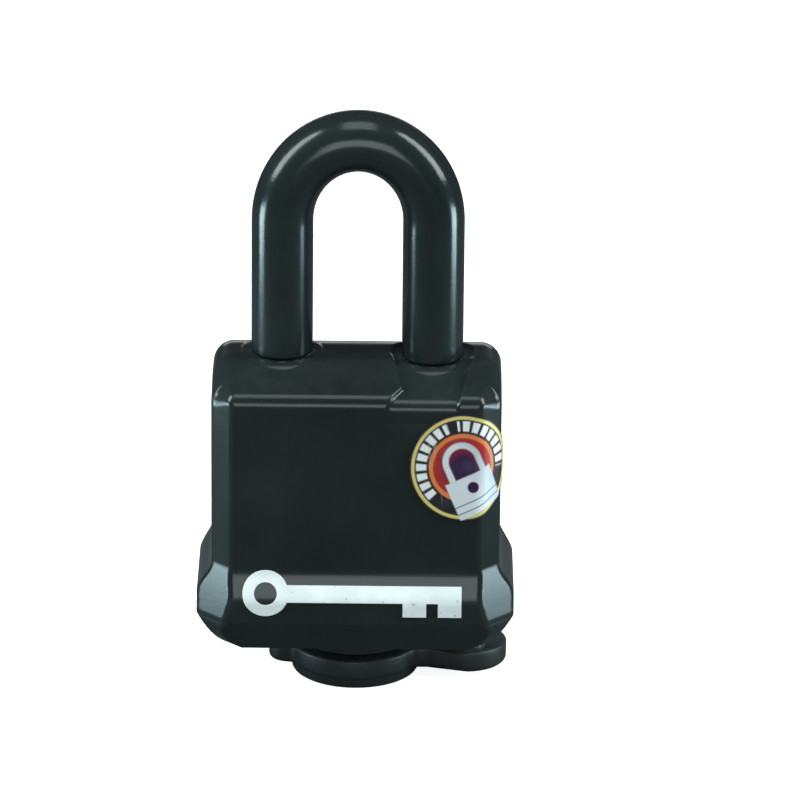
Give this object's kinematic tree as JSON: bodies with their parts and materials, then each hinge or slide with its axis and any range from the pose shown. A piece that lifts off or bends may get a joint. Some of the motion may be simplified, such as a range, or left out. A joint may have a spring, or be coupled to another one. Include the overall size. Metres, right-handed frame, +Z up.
{
  "type": "padlock",
  "caption": "Laminated padlock in a black moulded weather jacket with a vinyl sleeved shackle and a swinging keyway cover.",
  "frame": {"origin": "centre of the flat round boss under the keyway cover, which the lock stands on; also the plug's axis", "axes": "+Z up along the shackle, front face towards -Y, toe leg of the shackle and the cover's pivot towards +X"},
  "size_m": [0.0488, 0.0286, 0.0907],
  "materials": {
    "jacket_black": "glossy black moulded thermoplastic",
    "cap_black": "black moulded thermoplastic, fine moulded grain",
    "cover_rubber": "soft brownish black moulding",
    "sleeve_vinyl": "glossy black vinyl tube",
    "plate_steel": "rolled steel plate with sheared edges",
    "rivet_steel": "zinc plated",
    "hardened_steel": "hardened and polished",
    "spring_steel": "bright spring wire",
    "brass": "machined brass",
    "label_print": null,
    "white_mark": "white print, slightly raised"
  },
  "bodies": {
    "lock_body": {"jacket": "jacket_black", "bottom_cap": "cap_black", "lamination_01": "plate_steel", "lamination_02": "plate_steel", "lamination_03": "plate_steel", "lamination_04": "plate_steel", "lamination_05": "plate_steel", "lamination_06": "plate_steel", "lamination_07": "plate_steel", "lamination_08": "plate_steel", "lamination_09": "plate_steel", "lamination_10": "plate_steel", "lamination_11": "plate_steel", "lamination_12": "plate_steel", "lamination_13": "plate_steel", "lamination_14": "plate_steel", "stack_rivet_left_front": "rivet_steel", "stack_rivet_left_back": "rivet_steel", "stack_rivet_right_front": "rivet_steel", "stack_rivet_right_back": "rivet_steel", "cylinder_housing": "brass", "driver_pin_1": "brass", "driver_pin_2": "brass", "driver_pin_3": "brass", "driver_pin_4": "brass", "pin_spring_1": "spring_steel", "pin_spring_2": "spring_steel", "pin_spring_3": "spring_steel", "pin_spring_4": "spring_steel", "dog_spring": "spring_steel", "shackle_spring": "spring_steel", "cover_rivet": "rivet_steel", "cover_washer": "spring_steel", "label": "label_print", "front_mark": "white_mark"},
    "plug": {"plug": "brass", "plug_clip": "spring_steel", "cam": "hardened_steel", "key_pin_1": "brass", "key_pin_2": "brass", "key_pin_3": "brass", "key_pin_4": "brass"},
    "dog_toe": {"dog_toe": "hardened_steel"},
    "dog_heel": {"dog_heel": "hardened_steel"},
    "shackle": {"shackle_bar": "hardened_steel", "shackle_sleeve": "sleeve_vinyl"},
    "keyway_cover": {"keyway_cover": "cover_rubber"}
  },
  "joints": [
    {"name": "plug_turn", "type": "hinge", "parent": "lock_body", "child": "plug", "pos_m": [0, 0, 0.02], "axis": [0, 0, 1], "range_deg": [-90, 0]},
    {"name": "dog_toe_slide", "type": "slide", "parent": "lock_body", "child": "dog_toe", "axis": [1, 0, 0], "range_m": [0, 0.0026], "deforming": ["dog_spring"]},
    {"name": "dog_heel_slide", "type": "slide", "parent": "lock_body", "child": "dog_heel", "axis": [-1, 0, 0], "range_m": [0, 0.0026]},
    {"name": "shackle_lift", "type": "slide", "parent": "lock_body", "child": "shackle", "axis": [0, 0, 1], "range_m": [0, 0.0145], "deforming": ["shackle_spring"]},
    {"name": "keyway_cover_swing", "type": "hinge", "parent": "lock_body", "child": "keyway_cover", "pos_m": [0.0172, 0, 0.003], "axis": [0, 0, 1], "range_deg": [0, 120]}
  ],
  "couplings": [
    {"joint": "plug_turn", "follows": "dog_toe_slide", "rad_per_m": -604.15},
    {"joint": "dog_heel_slide", "follows": "dog_toe_slide", "ratio": 1}
  ]
}
